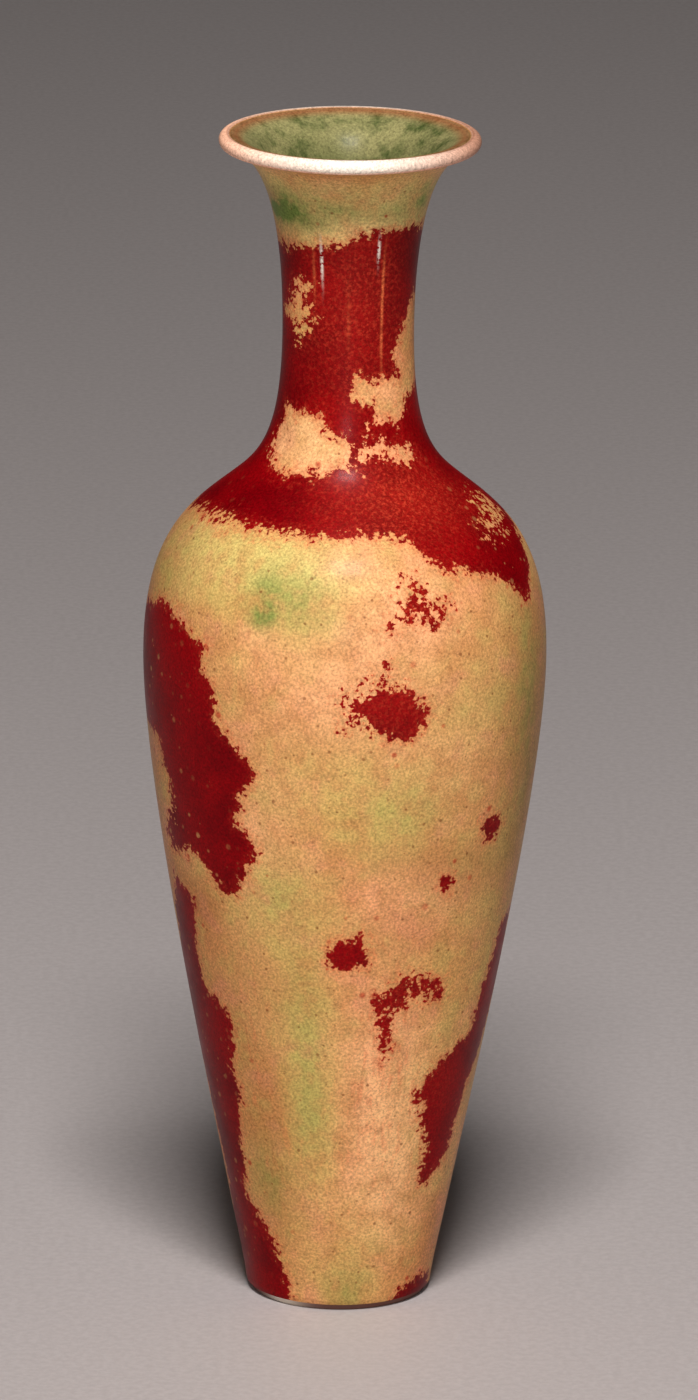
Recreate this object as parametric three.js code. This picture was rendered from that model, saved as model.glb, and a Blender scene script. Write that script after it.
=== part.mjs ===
import * as THREE from "three";

// A slender porcelain vase with a copper-red glaze. Sizes are in millimetres, +Z is up, and the
// origin is the middle of the foot on the table.
//
// The body was thrown in three sections: a lower body with the foot turned from it, a shoulder,
// and a neck with the rolled mouth. Each pair is luted end to end with a ring of slip. A coloured
// glaze covers the outside from just above the foot, over the lip and down the inside of the neck.
// A clear glaze lines the body below that, and another fills the recess under the foot.

// Diameters over the glaze, from the foot up.
const footFaceDiameter = 23.7;
const footDiameter = 24.94;
const footWaistDiameter = 29.2;
const bellyDiameter = 54;
const shoulderDiameter = 32.1;
const neckDiameter = 17.5;
const mouthDiameter = 34.8;

// Heights of one level above the one before it, from the table up.
const glazeLineHeight = 0.9;
const footWaistRise = 11.1;
const bellyRise = 77;
const shoulderRise = 23.6;
const neckRise = 21;
const lipRise = 26.4;

// How the profile leans as it passes a level: millimetres outwards for each millimetre up.
const footLean = 0.14;
const footWaistLean = 0.197;
const shoulderLean = -1.244;
const lipLean = 4.7;

// Thickness of the clay wall, the glazes and the rolled lip.
const wallAtFoot = 3.2;
const wallAtMouth = 1.15;
const baseThickness = 3.2;
const outerGlazeThickness = 0.35;
const innerGlazeThickness = 0.3;
const baseGlazeThickness = 0.3;
const lipThickness = 1.92;

// The turned foot ring and the recess inside it.
const footRingWidth = 1.5;
const footRingBevel = 0.35;
const footRecessDepth = 3.6;
const footRecessFillet = 0.8;
const floorFilletRadius = 5;

// Where the sections are luted together, and the slip between them.
const slipThickness = 0.5;
const neckJointAboveShoulder = 5.4;

// Where the lip's round leaves the outer and the inner flare, in degrees about its middle.
const lipUnderside = -110;
const lipInside = 130;

const facetsAround = 32;
const stepsAroundLip = 6;

const footWaistHeight = glazeLineHeight + footWaistRise;
const bellyHeight = footWaistHeight + bellyRise;
const shoulderHeight = bellyHeight + shoulderRise;
const neckHeight = shoulderHeight + neckRise;
const overallHeight = neckHeight + lipRise;
const neckJointHeight = shoulderHeight + neckJointAboveShoulder;
const cavityFloorHeight = footRecessDepth + baseThickness;

const lipRadius = lipThickness / 2;
const lipMiddle = new THREE.Vector2(mouthDiameter / 2 - lipRadius, overallHeight - lipRadius);

// A point on a circle about the middle of the lip, at an angle in degrees.
function aroundLip(radius, degrees) {
  const angle = THREE.MathUtils.degToRad(degrees);
  return new THREE.Vector2(
    lipMiddle.x + radius * Math.cos(angle),
    lipMiddle.y + radius * Math.sin(angle),
  );
}

// The arc round the lip from the outer flare to the inner flare, for a bead of this radius.
function lipArc(radius) {
  const points = [];
  for (let i = 0; i <= stepsAroundLip; i++) {
    const degrees = THREE.MathUtils.lerp(lipUnderside, lipInside, i / stepsAroundLip);
    points.push(aroundLip(radius, degrees));
  }
  return points;
}

// The levels that the outer profile passes through. x is the radius and y is the height.
const levels = {
  foot: { at: new THREE.Vector2(footDiameter / 2, glazeLineHeight), lean: footLean },
  footWaist: { at: new THREE.Vector2(footWaistDiameter / 2, footWaistHeight), lean: footWaistLean },
  belly: { at: new THREE.Vector2(bellyDiameter / 2, bellyHeight), lean: 0 },
  shoulder: { at: new THREE.Vector2(shoulderDiameter / 2, shoulderHeight), lean: shoulderLean },
  neck: { at: new THREE.Vector2(neckDiameter / 2, neckHeight), lean: 0 },
  lip: { at: aroundLip(lipRadius, lipUnderside), lean: lipLean },
};

// Each stretch of the profile is one Bezier curve. leave and arrive are the lengths of its two
// handles as shares of the straight distance that it spans: they set how full the curve is.
const stretches = [
  { from: levels.foot, to: levels.footWaist, leave: 0.36, arrive: 0.36, steps: 1 },
  { from: levels.footWaist, to: levels.belly, leave: 0.195, arrive: 0.232, steps: 5 },
  { from: levels.belly, to: levels.shoulder, leave: 0.6, arrive: 0.26, steps: 6 },
  { from: levels.shoulder, to: levels.neck, leave: 0.24, arrive: 0.68, steps: 5 },
  { from: levels.neck, to: levels.lip, leave: 0.4, arrive: 0.244, steps: 6 },
];

function directionOf(lean) {
  return new THREE.Vector2(lean, 1).normalize();
}

function stretchCurve({ from, to, leave, arrive }) {
  const span = from.at.distanceTo(to.at);
  return new THREE.CubicBezierCurve(
    from.at,
    from.at.clone().addScaledVector(directionOf(from.lean), leave * span),
    to.at.clone().addScaledVector(directionOf(to.lean), -arrive * span),
    to.at,
  );
}

// Stations up the glazed outside, each with the direction that faces out of the surface.
function outerStations() {
  const stations = [];
  stretches.forEach((stretch, index) => {
    const curve = stretchCurve(stretch);
    for (let i = index === 0 ? 0 : 1; i <= stretch.steps; i++) {
      const t = i / stretch.steps;
      const tangent = curve.getTangent(t);
      stations.push({ at: curve.getPoint(t), outward: new THREE.Vector2(tangent.y, -tangent.x) });
    }
  });
  return stations;
}

function wallThicknessAt(height) {
  return THREE.MathUtils.lerp(wallAtFoot, wallAtMouth, height / overallHeight);
}

// The outside seen from a depth below it: depthAt gives the depth for a height.
function sunk(stations, depthAt) {
  return stations.map(({ at, outward }) => at.clone().addScaledVector(outward, -depthAt(at.y)));
}

// The point where a run that climbs steadily passes a height.
function pointAt(run, height) {
  const above = run.findIndex((point) => point.y >= height);
  const low = run[above - 1];
  const high = run[above];
  return low.clone().lerp(high, (height - low.y) / (high.y - low.y));
}

// The part of a climbing run between two heights, with its ends cut level.
function between(run, low, high) {
  const inside = run.filter((point) => point.y > low + 1e-6 && point.y < high - 1e-6);
  return [pointAt(run, low), ...inside, pointAt(run, high)];
}

function above(run, low) {
  return [pointAt(run, low), ...run.filter((point) => point.y > low + 1e-6)];
}

function below(run, high) {
  return [...run.filter((point) => point.y < high - 1e-6), pointAt(run, high)];
}

const stations = outerStations();
const glazeOutside = sunk(stations, () => 0);
const clayOutside = sunk(stations, () => outerGlazeThickness);
const clayInside = sunk(stations, (height) => outerGlazeThickness + wallThicknessAt(height));
const glazeInside = sunk(
  stations,
  (height) => outerGlazeThickness + wallThicknessAt(height) + innerGlazeThickness,
);

// A cavity: a flat floor, a rounded corner and then the wall's inside up to its top. The run starts
// on the axis and climbs.
function cavityRun(wallRun, floorHeight, filletRadius) {
  const corner = pointAt(wallRun, floorHeight);
  const onWall = pointAt(wallRun, floorHeight + filletRadius);
  const onFloor = new THREE.Vector2(corner.x - filletRadius, floorHeight);
  const fillet = new THREE.QuadraticBezierCurve(onFloor, corner, onWall).getPoints(3);
  return [new THREE.Vector2(0, floorHeight), ...fillet, ...above(wallRun, onWall.y).slice(1)];
}

const clayCavity = cavityRun(clayInside, cavityFloorHeight, floorFilletRadius);
const glazeCavity = cavityRun(
  glazeInside,
  cavityFloorHeight + innerGlazeThickness,
  floorFilletRadius - innerGlazeThickness,
);

// The two planes where a ring of slip meets the sections that it joins.
function slipPlanes(height) {
  return { low: height - slipThickness / 2, high: height + slipThickness / 2 };
}
const bellyJoint = slipPlanes(bellyHeight);
const neckJoint = slipPlanes(neckJointHeight);

// A solid of revolution about the Z axis, from an outline that starts and ends on the axis or
// closes on itself, with the material on its left.
function turned(name, outline, material) {
  const geometry = new THREE.LatheGeometry(outline, facetsAround);
  geometry.rotateX(Math.PI / 2);
  const mesh = new THREE.Mesh(geometry, material);
  mesh.name = name;
  return mesh;
}

function closed(outline) {
  return [...outline, outline[0].clone()];
}

const claySlot = { color: 0xe9e2d6, roughness: 0.75, metalness: 0 };
const slipSlot = { color: 0xd9cfbf, roughness: 0.85, metalness: 0 };
const copperRedSlot = { color: 0xb06a45, roughness: 0.22, metalness: 0 };
const clearSlot = { color: 0xdfe3da, roughness: 0.15, metalness: 0 };

function material(values) {
  return new THREE.MeshStandardMaterial(values);
}

// The lower body: the foot ring, the recessed base, the floor of the cavity and the tapering wall.
function lowerBody() {
  const faceOuter = footFaceDiameter / 2;
  const faceInner = faceOuter - footRingWidth;
  const recessRadius = faceInner - footRingBevel;
  const recessCorner = new THREE.Vector2(recessRadius, footRecessDepth);
  const recessFillet = new THREE.QuadraticBezierCurve(
    new THREE.Vector2(recessRadius - footRecessFillet, footRecessDepth),
    recessCorner,
    new THREE.Vector2(recessRadius, footRecessDepth - footRecessFillet),
  ).getPoints(2);
  const underside = [
    new THREE.Vector2(0, footRecessDepth),
    ...recessFillet,
    new THREE.Vector2(recessRadius, footRingBevel),
    new THREE.Vector2(faceInner, 0),
    new THREE.Vector2(faceOuter, 0),
  ];
  const outline = [
    ...underside,
    ...below(clayOutside, bellyJoint.low),
    ...below(clayCavity, bellyJoint.low).reverse(),
  ];
  return turned("lower_body", outline, material(claySlot));
}

// A ring of the clay wall between two level planes.
function wallRing(name, low, high, slot) {
  const outline = [
    ...between(clayOutside, low, high),
    ...between(clayInside, low, high).reverse(),
  ];
  return turned(name, closed(outline), material(slot));
}

// The neck from its joint up to the rolled lip.
function neckAndMouth() {
  const outline = [
    ...above(clayOutside, neckJoint.high),
    ...lipArc(lipRadius - outerGlazeThickness),
    ...above(clayInside, neckJoint.high).reverse(),
  ];
  return turned("neck_and_mouth", closed(outline), material(claySlot));
}

// The coloured glaze: up the outside, over the lip and down the inside of the neck.
function copperRedGlaze() {
  const face = [
    ...glazeOutside,
    ...lipArc(lipRadius).slice(1),
    ...above(glazeInside, neckJoint.high).reverse(),
  ];
  const back = [
    ...above(clayInside, neckJoint.high),
    ...lipArc(lipRadius - outerGlazeThickness).reverse(),
    ...clayOutside.slice().reverse(),
  ];
  return turned("copper_red_glaze", closed([...face, ...back]), material(copperRedSlot));
}

// The clear glaze that lines the body below the neck.
function innerClearGlaze() {
  const outline = [
    ...below(clayCavity, neckJoint.high),
    ...below(glazeCavity, neckJoint.high).reverse(),
  ];
  return turned("inner_clear_glaze", outline, material(clearSlot));
}

// The clear glaze on the recessed base, feathered out at its edge.
function baseClearGlaze() {
  const edge = footFaceDiameter / 2 - footRingWidth - footRingBevel - footRecessFillet;
  const face = footRecessDepth - baseGlazeThickness;
  const outline = [
    new THREE.Vector2(0, face),
    new THREE.Vector2(edge - baseGlazeThickness, face),
    new THREE.Vector2(edge, footRecessDepth),
    new THREE.Vector2(0, footRecessDepth),
  ];
  return turned("base_clear_glaze", outline, material(clearSlot));
}

const vase = new THREE.Group();
vase.add(
  lowerBody(),
  wallRing("belly_joint_slip", bellyJoint.low, bellyJoint.high, slipSlot),
  wallRing("shoulder", bellyJoint.high, neckJoint.low, claySlot),
  wallRing("neck_joint_slip", neckJoint.low, neckJoint.high, slipSlot),
  neckAndMouth(),
  copperRedGlaze(),
  innerClearGlaze(),
  baseClearGlaze(),
);

export default vase;
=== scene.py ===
import math

import bpy
import numpy as np
from mathutils import Matrix, Vector


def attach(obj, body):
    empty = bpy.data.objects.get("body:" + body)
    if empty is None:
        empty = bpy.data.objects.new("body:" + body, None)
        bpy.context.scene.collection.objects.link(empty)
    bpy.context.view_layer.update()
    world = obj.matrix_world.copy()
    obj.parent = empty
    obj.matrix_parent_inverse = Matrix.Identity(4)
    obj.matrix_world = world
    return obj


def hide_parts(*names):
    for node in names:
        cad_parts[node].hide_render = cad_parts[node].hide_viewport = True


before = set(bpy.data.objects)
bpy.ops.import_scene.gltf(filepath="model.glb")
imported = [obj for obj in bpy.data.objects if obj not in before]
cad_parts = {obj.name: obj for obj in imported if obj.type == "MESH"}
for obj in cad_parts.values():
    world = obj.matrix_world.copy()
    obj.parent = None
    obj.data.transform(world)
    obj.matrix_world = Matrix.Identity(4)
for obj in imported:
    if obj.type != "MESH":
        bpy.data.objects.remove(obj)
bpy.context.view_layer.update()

# A small porcelain vase with a copper-red glaze that has broken to buff and green. The glazes and
# the foot are turned here in fine steps over the coarse model. The glaze's patches are drawn on
# the wall as outlines, and the materials fray their edges and mottle the ground between them.

MM = 0.001

# The camera, fitted to the vase's outline.

CAMERA_DISTANCE = 1463.5 * MM
CAMERA_DOWN = math.radians(15.62)
CAMERA_ROLL = math.radians(0.616)
CAMERA_LENS = 280.65          # on a 36 mm high sensor
SENSOR_HEIGHT = 36
CAMERA_NEAR = 0.05            # in metres, as is the next
CAMERA_FAR = 30
AIM = Vector((0.63, 0, 82.2)) * MM


def place_camera():
    camera = bpy.data.objects.new("camera", bpy.data.cameras.new("camera"))
    bpy.context.scene.collection.objects.link(camera)
    bpy.context.scene.camera = camera
    camera.data.sensor_fit = "VERTICAL"
    camera.data.sensor_height = SENSOR_HEIGHT
    camera.data.lens = CAMERA_LENS
    camera.data.clip_start = CAMERA_NEAR
    camera.data.clip_end = CAMERA_FAR
    back = Vector((0, -math.cos(CAMERA_DOWN), math.sin(CAMERA_DOWN)))
    up = Vector((0, math.sin(CAMERA_DOWN), math.cos(CAMERA_DOWN)))
    right = Vector((1, 0, 0))
    turned_right = right * math.cos(CAMERA_ROLL) + up * math.sin(CAMERA_ROLL)
    turned_up = up * math.cos(CAMERA_ROLL) - right * math.sin(CAMERA_ROLL)
    axes = Matrix((turned_right, turned_up, back)).transposed()
    camera.matrix_world = Matrix.Translation(AIM + back * CAMERA_DISTANCE) @ axes.to_4x4()


place_camera()

# The turned section, in millimetres. Each station of the outside is its radius, its height and
# how far it leans outwards for each millimetre up.

GLAZE_LINE_HEIGHT = 0.9
FOOT = (12.47, GLAZE_LINE_HEIGHT, 0.14)
FOOT_WAIST = (14.6, 12.0, 0.197)
BELLY = (27.0, 89.0, 0.0)
SHOULDER = (16.05, 112.6, -1.244)
NECK = (8.75, 133.6, 0.0)
MOUTH_RADIUS = 17.4
OVERALL_HEIGHT = 160.0
LIP_RADIUS = 0.96
LIP_MIDDLE = np.array((MOUTH_RADIUS - LIP_RADIUS, OVERALL_HEIGHT - LIP_RADIUS))
LIP_UNDERSIDE = -110          # degrees round the lip's small circle, from outwards
LIP_INSIDE = 130
LIP_LEAN = 4.7

WALL_AT_FOOT = 3.2
WALL_AT_MOUTH = 1.15
OUTER_GLAZE = 0.35
INNER_GLAZE = 0.3
NECK_JOINT = 118.25
BELLY_JOINT = 88.75
FOOT_FACE_RADIUS = 11.85
FOOT_RING_WIDTH = 1.5
RECESS_DEPTH = 3.6
RECESS_STEP_BACK = 0.35       # from the foot ring's flat face to the recess's wall
RECESS_CORNER = 0.8
BASE_THICKNESS = 3.2
FLOOR_FILLET = 5.0
FLOOR_RINGS = (0, 1.2, 2.4)   # radii of the rings that divide the flat floor
BASE_GLAZE = 0.3
BASE_RINGS = (0, 3, 6)
GLAZE_EDGE_ROLL = [(12.2, 0.98), (12.32, 0.86), (12.44, 0.86)]

# How finely the section is cut, and the pieces round the wheel.
FINE = 1.0
COARSE = 0.35                 # for faces that no one sees
LIP_STEPS = 22
COARSE_LIP_STEPS = 8
FILLET_STEPS = 8
OUTSIDE_TURNS = 192
FOOT_TURNS = 160
HIDDEN_TURNS = 128
WELD_DISTANCE = 0.002 * MM
SHARP_EDGE = math.radians(40)


def lip_point(radius, degrees):
    angle = math.radians(degrees)
    return LIP_MIDDLE + radius * np.array((math.cos(angle), math.sin(angle)))


def direction(lean):
    return np.array((lean, 1.0)) / math.hypot(lean, 1.0)


def stretch(start, end, leave, arrive, steps):
    """One Bezier stretch of the wall, as points and outward directions. It leaves out its start."""
    a = np.array(start[:2])
    d = np.array(end[:2])
    span = np.linalg.norm(d - a)
    b = a + leave * span * direction(start[2])
    c = d - arrive * span * direction(end[2])
    t = np.linspace(0, 1, steps + 1)[1:, None]
    points = (1 - t) ** 3 * a + 3 * (1 - t) ** 2 * t * b + 3 * (1 - t) * t ** 2 * c + t ** 3 * d
    slope = (1 - t) ** 2 * (b - a) + 2 * (1 - t) * t * (c - b) + t ** 2 * (d - c)
    outward = np.column_stack((slope[:, 1], -slope[:, 0]))
    return points, outward / np.linalg.norm(outward, axis=1)[:, None]


def glazed_wall(fineness):
    """The glazed outside from the glaze line to the lip, with the direction that faces out."""
    lip = (*lip_point(LIP_RADIUS, LIP_UNDERSIDE), LIP_LEAN)
    first = np.array(FOOT[:2])[None]
    facing = np.array((1.0, -FOOT[2]))[None]
    points = [first]
    outwards = [facing / np.linalg.norm(facing)]
    # Each stretch has its two ends, how stiffly it leaves and arrives, and its steps.
    for start, end, leave, arrive, steps in (
        (FOOT, FOOT_WAIST, 0.36, 0.36, 14),
        (FOOT_WAIST, BELLY, 0.195, 0.232, 74),
        (BELLY, SHOULDER, 0.6, 0.26, 36),
        (SHOULDER, NECK, 0.24, 0.68, 34),
        (NECK, lip, 0.4, 0.244, 40),
    ):
        run, out = stretch(start, end, leave, arrive, max(2, round(steps * fineness)))
        points.append(run)
        outwards.append(out)
    return np.vstack(points), np.vstack(outwards)


def wall_thickness(height):
    return WALL_AT_FOOT + (WALL_AT_MOUTH - WALL_AT_FOOT) * height / OVERALL_HEIGHT


def at_height(run, height):
    """The point of a climbing run at a height."""
    return np.array((np.interp(height, run[:, 1], run[:, 0]), height))


def from_height(run, height):
    return np.vstack((at_height(run, height), run[run[:, 1] > height + 1e-6]))


def to_height(run, height):
    return np.vstack((run[run[:, 1] < height - 1e-6], at_height(run, height)))


def lip_round(radius, steps):
    return np.array([
        lip_point(radius, LIP_UNDERSIDE + (LIP_INSIDE - LIP_UNDERSIDE) * i / steps)
        for i in range(steps + 1)
    ])


def wall_runs(fineness):
    """The outside, the clay under its glaze, the clay's inner face and the inner glaze's face."""
    outside, outward = glazed_wall(fineness)
    depth = wall_thickness(outside[:, 1])[:, None]
    clay_outside = outside - outward * OUTER_GLAZE
    clay_inside = outside - outward * (OUTER_GLAZE + depth)
    glaze_inside = outside - outward * (OUTER_GLAZE + depth + INNER_GLAZE)
    return outside, clay_outside, clay_inside, glaze_inside


outside, clay_outside, _, glaze_inside = wall_runs(FINE)
_, coarse_clay_outside, coarse_clay_inside, _ = wall_runs(COARSE)


def red_glaze_section():
    face = np.vstack((
        GLAZE_EDGE_ROLL,
        outside,
        lip_round(LIP_RADIUS, LIP_STEPS)[1:],
        from_height(glaze_inside, NECK_JOINT)[::-1],
    ))
    back = np.vstack((
        from_height(coarse_clay_inside, NECK_JOINT),
        lip_round(LIP_RADIUS - OUTER_GLAZE, COARSE_LIP_STEPS)[::-1],
        coarse_clay_outside[::-1],
    ))
    return np.vstack((face, back, face[:1]))


def cavity_section(run, floor, fillet):
    """A flat floor, a rounded corner and the wall's inside above it."""
    corner = at_height(run, floor)
    on_wall = at_height(run, floor + fillet)
    on_floor = corner - (fillet, 0)
    t = np.linspace(0, 1, FILLET_STEPS + 1)[:, None]
    bend = (1 - t) ** 2 * on_floor + 2 * (1 - t) * t * corner + t ** 2 * on_wall
    inner_floor = [(radius, floor) for radius in FLOOR_RINGS]
    return np.vstack((inner_floor, bend, from_height(run, floor + fillet)[1:]))


def inner_glaze_section():
    floor = RECESS_DEPTH + BASE_THICKNESS
    back = to_height(cavity_section(coarse_clay_inside, floor, FLOOR_FILLET), NECK_JOINT)
    face = to_height(
        cavity_section(glaze_inside, floor + INNER_GLAZE, FLOOR_FILLET - INNER_GLAZE), NECK_JOINT
    )
    return np.vstack((back, face[::-1]))


def foot_and_body_section():
    """The bare clay of the lower body: recess, foot ring, wall and cavity."""
    inner = FOOT_FACE_RADIUS - FOOT_RING_WIDTH
    recess = inner - RECESS_STEP_BACK
    underside = [
        (0, RECESS_DEPTH), (4.6, RECESS_DEPTH), (recess - RECESS_CORNER, RECESS_DEPTH),
        (recess - 0.35, RECESS_DEPTH - 0.1), (recess - 0.1, RECESS_DEPTH - 0.35),
        (recess, RECESS_DEPTH - RECESS_CORNER), (recess, 1.4), (recess + 0.02, 0.6),
        (recess + 0.1, 0.22), (inner - 0.08, 0.06), (inner + 0.06, 0.0),
        (FOOT_FACE_RADIUS - 0.12, 0.0), (FOOT_FACE_RADIUS, 0.04), (FOOT_FACE_RADIUS + 0.12, 0.3),
    ]
    floor = RECESS_DEPTH + BASE_THICKNESS
    wall = to_height(clay_outside, BELLY_JOINT)[::2]
    wall[-1] = at_height(clay_outside, BELLY_JOINT)
    cavity = to_height(cavity_section(coarse_clay_inside, floor, FLOOR_FILLET), BELLY_JOINT)
    return np.vstack((underside, wall, cavity[::-1]))


def base_glaze_section():
    """The glaze in the recess: flat, with its edge drawn up to the clay."""
    edge = FOOT_FACE_RADIUS - FOOT_RING_WIDTH - RECESS_STEP_BACK - RECESS_CORNER
    face = RECESS_DEPTH - BASE_GLAZE
    flat = [(radius, face) for radius in BASE_RINGS]
    edge_roll = [(edge - 0.7, face), (edge - 0.3, face + 0.05), (edge - 0.08, face + 0.16)]
    back = [(edge, RECESS_DEPTH), (0, RECESS_DEPTH)]
    return np.array(flat + edge_roll + back)


# Turning.

def turn_on_wheel(name, section, steps):
    """Draws the section point by point from one vertex, spins it round the axis and closes it."""
    bpy.ops.object.select_all(action="DESELECT")
    start = Vector((section[0][0], 0, section[0][1])) * MM
    bpy.ops.mesh.primitive_plane_add(size=MM, location=start)
    piece = bpy.context.object
    piece.name = name
    bpy.ops.object.transform_apply(location=True, rotation=True, scale=True)
    bpy.ops.object.mode_set(mode="EDIT")
    bpy.ops.mesh.select_all(action="SELECT")
    bpy.ops.mesh.merge(type="CENTER")
    for before, after in zip(section[:-1], section[1:]):
        step = ((after[0] - before[0]) * MM, 0, (after[1] - before[1]) * MM)
        bpy.ops.mesh.extrude_vertices_move(TRANSFORM_OT_translate={"value": step})
    bpy.ops.mesh.select_all(action="SELECT")
    bpy.ops.mesh.remove_doubles(threshold=WELD_DISTANCE)
    bpy.ops.mesh.select_all(action="SELECT")
    bpy.ops.mesh.spin(steps=steps, angle=math.tau, center=(0, 0, 0), axis=(0, 0, 1))
    bpy.ops.mesh.select_all(action="SELECT")
    bpy.ops.mesh.remove_doubles(threshold=WELD_DISTANCE)
    bpy.ops.mesh.normals_make_consistent(inside=False)
    bpy.ops.object.mode_set(mode="OBJECT")
    bpy.ops.object.shade_smooth_by_angle(angle=SHARP_EDGE)
    return piece


red_glaze = turn_on_wheel("glaze_outside", red_glaze_section(), OUTSIDE_TURNS)
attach(red_glaze, "root")
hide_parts("copper_red_glaze")

inner_glaze = turn_on_wheel("glaze_inside_body", inner_glaze_section(), HIDDEN_TURNS)
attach(inner_glaze, "root")
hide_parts("inner_clear_glaze")

foot_clay = turn_on_wheel("foot_and_lower_body", foot_and_body_section(), FOOT_TURNS)
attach(foot_clay, "root")
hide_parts("lower_body")

base_glaze = turn_on_wheel("glaze_under_foot", base_glaze_section(), HIDDEN_TURNS)
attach(base_glaze, "root")
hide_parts("base_clear_glaze")

# Where the glaze is red, green, yellow, pink and white.
# Outlines go round each patch as (degrees round from the front, height in mm). Positive degrees
# are on the viewer's right.

RED_PATCHES = {
    "left_belly": [
        (-96, 90), (-90, 95), (-82, 97), (-68, 98.5), (-62, 98), (-55, 97), (-48, 95), (-44, 95),
        (-46, 92), (-43, 90), (-40, 89.5), (-40, 86), (-38, 84), (-34, 82.5), (-30, 80.5),
        (-27, 78.5), (-30, 76), (-33, 75), (-34, 70.5), (-30, 70), (-28, 67), (-31, 64.5),
        (-36, 61), (-40, 60.3), (-46, 61.5), (-49, 64), (-54, 65.5), (-58, 65), (-70, 64),
        (-71, 66), (-64, 69), (-62, 72), (-66, 76), (-70, 80), (-80, 80), (-90, 82),
    ],
    "left_foot": [
        (-70, 60), (-63, 58.5), (-58, 58), (-59, 54), (-62, 51), (-61, 46), (-56, 44),
        (-49, 43.5), (-46, 41), (-47, 37), (-50, 35), (-47, 32.5), (-46, 31), (-49, 29),
        (-51, 25), (-52, 21), (-54, 17), (-53, 15), (-49, 13), (-43, 11), (-38, 9.5),
        (-35, 7), (-32, 5), (-30, 2), (-29, -2), (-98, -2), (-88, 8), (-76, 16), (-78, 25),
        (-86, 35), (-86, 45), (-78, 55),
    ],
    "right_foot": [
        (33, 32.5), (36, 33), (40, 35), (46, 36.5), (52, 37.5), (60, 38.5), (62, 42), (65, 46),
        (68, 50), (71, 54), (82, 54), (86, 44), (76, 36), (68, 32), (64, 28), (62, 24),
        (58, 21), (53, 19), (47, 18), (43, 19), (42, 21), (44, 23), (41, 24), (40, 26),
        (36, 27), (38, 29), (33, 30),
    ],
    "lace_under_shoulder": [
        (14, 100.5), (17, 103), (20, 105.5), (24, 105), (27, 103), (32, 102), (33, 100.5),
        (27, 98.8), (20, 99.5), (14, 98.5), (11, 99.5),
    ],
    "front_core": [
        (-1, 90), (2, 91), (5, 91.5), (8, 92), (10, 94), (12, 95), (14, 92.5), (17, 91),
        (21, 89.5), (25, 88), (24, 86), (20, 84.5), (16, 84), (12, 84), (8, 85), (5, 85.5),
        (1, 85), (-1, 86.5),
    ],
    "front_blob": [
        (-4, 54.5), (-2, 56), (3, 55.5), (7, 56), (8, 54), (9, 52), (5, 51.5), (0, 51), (-4, 51.5),
    ],
    "chain": [
        (13, 46.5), (18, 47.5), (24, 49), (28, 49.3), (33, 48.7), (36, 49), (40, 47), (38, 45.8),
        (33, 47), (27, 47.5), (22, 46), (17, 44.5), (14, 44.5),
    ],
    "chain_tail": [(15, 44.5), (18, 44.5), (17.5, 41), (20, 39), (17, 37), (15, 39), (15.5, 42)],
    "right_oval": [(48, 69.3), (49.5, 70.8), (52, 71.2), (55, 70.4), (56, 69), (53, 67.6), (50, 67.8)],
    "right_small": [(33, 62.5), (35, 63.7), (37.5, 62.6), (36, 61.4), (34, 61.6)],
    "foot_right": [(38, 1.2), (46, 2.6), (58, 3.2), (72, 2.8), (80, -1), (36, -1)],
    "back_belly": [
        (118, 92), (128, 97), (142, 96), (150, 90), (162, 88), (168, 80), (160, 72), (150, 66),
        (146, 56), (134, 52), (128, 60), (122, 70), (112, 78), (110, 86),
    ],
    "back_low": [
        (176, 40), (188, 46), (204, 44), (212, 34), (206, 24), (196, 12), (190, -2), (166, -2),
        (168, 12), (174, 24),
    ],
    "back_fleck": [(206, 84), (214, 87), (222, 84), (218, 79), (208, 78)],
    "back_side": [(226, 74), (236, 78), (246, 72), (242, 62), (230, 60), (224, 66)],
}

# The broad red band round the neck and the shoulder, as its edges' heights round the vase.
BAND_TOP = [
    (-180, 146), (-150, 149), (-120, 148), (-90, 146.6), (-60, 145.8), (-45, 145.7), (-30, 146.2),
    (-10, 147), (0, 147.8), (10, 148.7), (30, 149), (60, 148.6), (90, 147.6), (120, 145.5),
    (150, 144.5), (180, 146),
]
BAND_FOOT = [
    (-180, 105), (-150, 103), (-125, 106.5), (-90, 109.4), (-65, 109.8), (-40, 109.9), (0, 110),
    (17, 109.8), (23, 109.4), (28, 107.6), (32, 106.2), (36, 105.2), (46, 104.6), (57, 103.3),
    (62, 101.4), (67, 99.2), (71, 99.0), (76, 102), (84, 105.5), (96, 108), (115, 104),
    (140, 101), (160, 103.5), (180, 105),
]

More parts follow.
